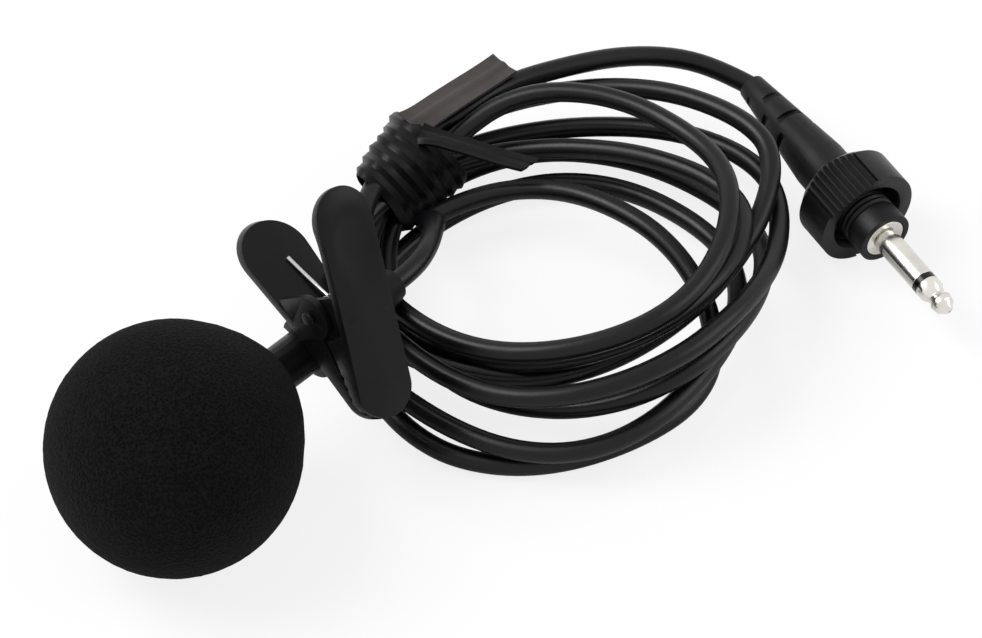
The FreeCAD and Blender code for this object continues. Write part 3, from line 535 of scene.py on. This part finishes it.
def makeFoam():
    middle = Vector(foam["middle"])
    bpy.ops.object.select_all(action="DESELECT")
    bpy.ops.mesh.primitive_uv_sphere_add(
        segments=foam["segments"],
        ring_count=foam["rings"],
        radius=foam["radius"] * mm,
        rotation=(0, math.pi / 2, 0),
    )
    piece = bpy.context.object
    piece.name = "foamBall"
    settle(piece)
    bpy.ops.object.mode_set(mode="EDIT")
    bpy.ops.mesh.select_all(action="SELECT")
    cut = foam["shoulder"][0] * mm
    bpy.ops.mesh.bisect(plane_co=(cut, 0, 0), plane_no=(1, 0, 0), clear_outer=True)
    rim, across = foam["shoulder"]
    for place, radius in foam["collar"] + [(foam["collar"][-1][0] + foam["lip"], foam["boreRadius"])]:
        bpy.ops.mesh.extrude_region_move(TRANSFORM_OT_translate={"value": ((place - rim) * mm, 0, 0)})
        share = radius / across
        bpy.ops.transform.resize(value=(1, share, share), center_override=(place * mm, 0, 0))
        rim, across = place, radius
    bpy.ops.mesh.extrude_region_move(TRANSFORM_OT_translate={"value": (-foam["boreDepth"] * mm, 0, 0)})
    bpy.ops.mesh.edge_face_add()
    bpy.ops.mesh.select_all(action="SELECT")
    bpy.ops.mesh.normals_make_consistent(inside=False)
    bpy.ops.transform.translate(value=middle * mm)
    bpy.ops.object.mode_set(mode="OBJECT")
    grain = bpy.data.textures.new("foamGrain", "CLOUDS")
    grain.noise_scale = foam["grainSize"] * mm
    rough = piece.modifiers.new("grain", "DISPLACE")
    rough.texture = grain
    rough.texture_coords = "LOCAL"
    rough.strength = foam["grain"] * mm
    rough.mid_level = 1.0
    applyModifiers(piece)
    bpy.ops.object.shade_smooth()
    piece.data.materials.append(materials["foam"])
    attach(piece, "windscreen")
    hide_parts("windscreen")


makeFoam()
print("foam shaped")


# Torsion spring: three turns and a part round the pin, with a bent leg along each lever

spring = {
    "wireRadius": 0.3,
    "smoothness": 4,
    "roundness": 4,
    "coilRadius": 1.35,
    "pitch": 1.04,
    "turns": 3,
    "legRoot": 1.5,
    "legAngle": 68.0,
    "steps": 24,
    "pin": (14.5, -3.2355, 26.1803),
    "tilt": 47.0,
    "skew": -5.5,
    "upperLeg": [(-1.3, 6.35, -1.1), (-0.8, 8.3, -6.0)],
    "lowerLeg": [(1.75, -5.0, -0.6), (0.7, -8.1, -6.8)],
}


def inClip(place):
    lean = Matrix.Rotation(math.radians(90 + spring["tilt"]), 3, "X")
    skew = Matrix.Rotation(math.radians(spring["skew"]), 3, "Y")
    return lean @ skew @ Vector(place) + Vector(spring["pin"])  # from the clip's own axes


def bendWire(name, places, body):
    curve = bpy.data.curves.new(name, "CURVE")
    curve.dimensions = "3D"
    line = curve.splines.new("NURBS")
    line.points.add(len(places) - 1)
    for point, place in zip(line.points, places):
        point.co = (*(inClip(place) * mm), 1)
    line.order_u = 3
    line.use_endpoint_u = True
    line.resolution_u = spring["smoothness"]
    curve.bevel_depth = spring["wireRadius"] * mm
    curve.bevel_resolution = spring["roundness"]
    curve.use_fill_caps = True
    piece = bpy.data.objects.new(name, curve)
    bpy.context.collection.objects.link(piece)
    selectOnly(piece)
    bpy.ops.object.convert(target="MESH")
    bpy.ops.object.shade_smooth_by_angle(angle=smoothAngle)
    piece.data.materials.append(materials["steel"])
    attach(piece, body)
    return piece


def makeSpring():
    radius, climb = spring["coilRadius"], spring["pitch"] / (2 * math.pi)
    first = math.radians(spring["legAngle"])
    last = math.pi - first + 2 * math.pi * spring["turns"]
    start = -climb * (last - first) / 2
    count = spring["steps"] * spring["turns"]
    turns = []
    for step in range(count + 1):
        angle = first + (last - first) * step / count
        along = start + climb * (angle - first)
        turns.append(Vector((along, radius * math.cos(angle), radius * math.sin(angle))))
    upperRoot = turns[0] + Vector((0, math.sin(first), -math.cos(first))) * spring["legRoot"]
    lowerRoot = turns[-1] + Vector((0, -math.sin(last), math.cos(last))) * spring["legRoot"]
    coil = bendWire("springCoil", turns + [lowerRoot] + spring["lowerLeg"], "clip")
    bendWire("springUpperLeg", [turns[1], turns[0], upperRoot] + spring["upperLeg"], "upper_jaw")
    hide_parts("torsion_spring")


makeSpring()
print("spring wound")


# Twist tie: a wire-cored ribbon wound round the gathered cord, with two flat tails.
# A tail has its root, end, width and the slant of its cut.

tie = {
    "startX": 41.6,
    "middleZ": 8.0,
    "nearSide": 13.4,
    "reach": (3.7, 6.1),  # half the loops' breadth at the first and the last turn
    "rise": 7.2,
    "slant": 4.0,
    "lean": 0.42,
    "pitch": 2.0,
    "turns": 6,
    "steps": 48,
    "width": 2.3,
    "thickness": 0.45,
    "outline": 18,
    "lap": 0.16,
    "wireRidge": 0.3,
    "ridgeReach": 0.35,
    "crumple": 0.14,
    "crumpleWaves": (5, 9),  # round a turn and along the winding
    "longTail": ((49.5, 19.5, 15.1), (67.1, 18.7, 14.8), 4.7, 0.2),
    "shortTail": ((49.6, 17.6, 15.0), (56.4, 4.5, 13.7), 3.0, -1.6),
    "tailThickness": 0.4,
    "tailGrid": (40, 14),
    "tailRidgeReach": 0.2,
    "curl": 0.3,
    "wave": 0.2,
    "waveTurn": 6.0,
    "fold": 0.7,
    "foldReach": 0.2,
}


def makeWinding():
    length = tie["pitch"] * tie["turns"]
    bpy.ops.object.select_all(action="DESELECT")
    bpy.ops.mesh.primitive_circle_add(vertices=tie["outline"], radius=mm / 2, rotation=(math.pi / 2, 0, 0))
    piece = bpy.context.object
    piece.name = "tieWinding"
    bpy.ops.transform.resize(value=(tie["width"], 1, tie["thickness"]), center_override=(0, 0, 0))
    settle(piece)
    for vertex in piece.data.vertices:  # the wire under the plastic, and the lap on the turn before
        across = vertex.co.x / (tie["width"] / 2 * mm)
        ridge = tie["wireRidge"] * math.exp(-((across / tie["ridgeReach"]) ** 2))
        vertex.co.z += (ridge + tie["lap"] * across) * mm
    piece.data.transform(Matrix.Translation((0, 0, tie["rise"] * mm)))
    screw = piece.modifiers.new("winding", "SCREW")
    screw.axis = "X"
    screw.angle = -2 * math.pi
    screw.screw_offset = tie["pitch"] * mm
    screw.iterations = tie["turns"]
    screw.steps = tie["steps"]
    screw.render_steps = tie["steps"]
    applyModifiers(piece)
    bpy.ops.object.mode_set(mode="EDIT")
    bpy.ops.mesh.select_all(action="SELECT")
    bpy.ops.mesh.remove_doubles(threshold=1e-6)
    bpy.ops.mesh.fill_holes(sides=tie["outline"])
    bpy.ops.mesh.select_all(action="SELECT")
    bpy.ops.mesh.normals_make_consistent(inside=False)
    bpy.ops.object.mode_set(mode="OBJECT")
    slant = math.radians(tie["slant"])
    side = Vector((-math.sin(slant), math.cos(slant), 0))
    around, onward = tie["crumpleWaves"]
    for vertex in piece.data.vertices:  # the round turns pressed to the bundle's own shape
        place = vertex.co / mm
        share = min(max(place.x / length, 0), 1)
        reach = tie["reach"][0] + (tie["reach"][1] - tie["reach"][0]) * share
        angle = math.atan2(place.y, place.z) + math.pi  # the ribbon starts and ends below
        out = math.hypot(place.y, place.z) - tie["rise"]
        out += tie["crumple"] * math.sin(around * angle + onward * share)
        middle = Vector((tie["startX"] + place.x, tie["nearSide"] + reach * side.y, tie["middleZ"]))
        across = side * (reach + out) * math.sin(angle)
        up = (tie["rise"] + out) * math.cos(angle)
        vertex.co = (middle + across + Vector((-tie["lean"] * up, 0, up))) * mm
    return piece


def makeTail(name, start, stop, width, slant):
    start, stop = Vector(start), Vector(stop)
    along = (stop - start).normalized()
    side = Vector((0, 0, 1)).cross(along).normalized()
    up = along.cross(side)
    length = (stop - start).length
    bpy.ops.object.select_all(action="DESELECT")
    rows, columns = tie["tailGrid"]
    bpy.ops.mesh.primitive_grid_add(x_subdivisions=rows, y_subdivisions=columns, size=1)
    piece = bpy.context.object
    piece.name = name
    bpy.ops.transform.resize(value=(length * mm, width * mm, 1))
    bpy.ops.transform.translate(value=(length / 2 * mm, 0, 0))
    settle(piece)
    for vertex in piece.data.vertices:  # the wire's ridge, a slight curl, the fold at the root and the cut
        across = vertex.co.y / (width / 2 * mm)
        share = vertex.co.x / (length * mm)
        ridge = tie["wireRidge"] * math.exp(-((across / tie["tailRidgeReach"]) ** 2))
        curl = tie["curl"] * across ** 2 * share + tie["wave"] * math.sin(share * tie["waveTurn"]) * share
        fold = tie["fold"] * across * max(0, 1 - share / tie["foldReach"]) ** 2
        vertex.co.z += (ridge + curl + fold) * mm
        vertex.co.x -= slant * mm * share ** 3 * (0.5 + across / 2)
    thick = piece.modifiers.new("thickness", "SOLIDIFY")
    thick.thickness = tie["tailThickness"] * mm
    thick.offset = 1
    applyModifiers(piece)
    piece.data.transform(Matrix.Translation(start * mm) @ Matrix((along, side, up)).transposed().to_4x4())
    return piece


def makeTie():
    winding = makeWinding()
    longTail = makeTail("tieLongTail", *tie["longTail"])
    shortTail = makeTail("tieShortTail", *tie["shortTail"])
    # The winding and the short tail take the darker copy of the ribbon plastic, painted shade; the long tail
    # takes the ribbon's own
    for piece, material in ((winding, "wound"), (longTail, "ribbon"), (shortTail, "wound")):
        selectOnly(piece)
        bpy.ops.object.shade_smooth_by_angle(angle=smoothAngle)
        piece.data.materials.append(materials[material])
        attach(piece, "microphone")
    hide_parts("twist_tie")
    return [winding, longTail, shortTail]


tiePieces = makeTie()
print("tie wound")

# Table, light and world

# In metres; a lamp has its place, breadth and power
light = {
    "aim": (0.04, 0, 0.01),
    "worldLevel": 0.55,
    "key": ((-0.25, 0.35, 0.6), 0.45, 5.0),
    "fill": ((0.5, -0.5, 0.45), 0.5, 1.6),
}
tableTop = {"size": 6, "paper": 0.85, "glow": 0.82}


def addTable():
    bpy.ops.object.select_all(action="DESELECT")
    bpy.ops.mesh.primitive_plane_add(size=tableTop["size"], location=(0, 0, 0))
    table = bpy.context.object
    table.name = "table"
    graph = Graph("tableWhite")
    seen = graph.node("ShaderNodeLightPath", output="Is Camera Ray")
    paper = graph.node("ShaderNodeBsdfDiffuse", inputs={"Color": (*[tableTop["paper"]] * 3, 1)})
    glow = graph.node("ShaderNodeEmission", inputs={"Color": (1, 1, 1, 1), "Strength": 1.0})
    mixed = graph.node("ShaderNodeMixShader", inputs={0: seen * tableTop["glow"], 1: paper, 2: glow})
    table.data.materials.append(graph.finished(mixed))


def addWorld():
    world = bpy.data.worlds.new("studio")
    world.use_nodes = True
    bpy.context.scene.world = world
    tree = world.node_tree
    tree.nodes.clear()
    path = tree.nodes.new("ShaderNodeLightPath")
    room = tree.nodes.new("ShaderNodeBackground")
    room.inputs["Strength"].default_value = light["worldLevel"]
    white = tree.nodes.new("ShaderNodeBackground")
    white.inputs["Strength"].default_value = 1.0
    for shader in (room, white):
        shader.inputs["Color"].default_value = (1, 1, 1, 1)
    seen = tree.nodes.new("ShaderNodeMath")
    shown = tree.nodes.new("ShaderNodeMath")
    for step in (seen, shown):
        step.operation = "MAXIMUM"
    tree.links.new(path.outputs["Is Camera Ray"], seen.inputs[0])
    tree.links.new(path.outputs["Is Glossy Ray"], seen.inputs[1])
    tree.links.new(seen.outputs[0], shown.inputs[0])
    tree.links.new(path.outputs["Is Transmission Ray"], shown.inputs[1])
    blend = tree.nodes.new("ShaderNodeMixShader")
    output = tree.nodes.new("ShaderNodeOutputWorld")
    tree.links.new(shown.outputs[0], blend.inputs[0])
    tree.links.new(room.outputs[0], blend.inputs[1])
    tree.links.new(white.outputs[0], blend.inputs[2])
    tree.links.new(blend.outputs[0], output.inputs["Surface"])


def addLamp(name, place, size, power):
    bpy.ops.object.light_add(type="AREA", location=place)
    lamp = bpy.context.object
    lamp.name = name
    lamp.data.size = size
    lamp.data.energy = power
    aim = Vector(light["aim"]) - Vector(place)
    lamp.rotation_euler = aim.to_track_quat("-Z", "Y").to_euler()


addTable()
addWorld()
for name in ("key", "fill"):
    addLamp(name, *light[name])
bpy.context.scene.view_settings.view_transform = "Standard"
print("stage set")
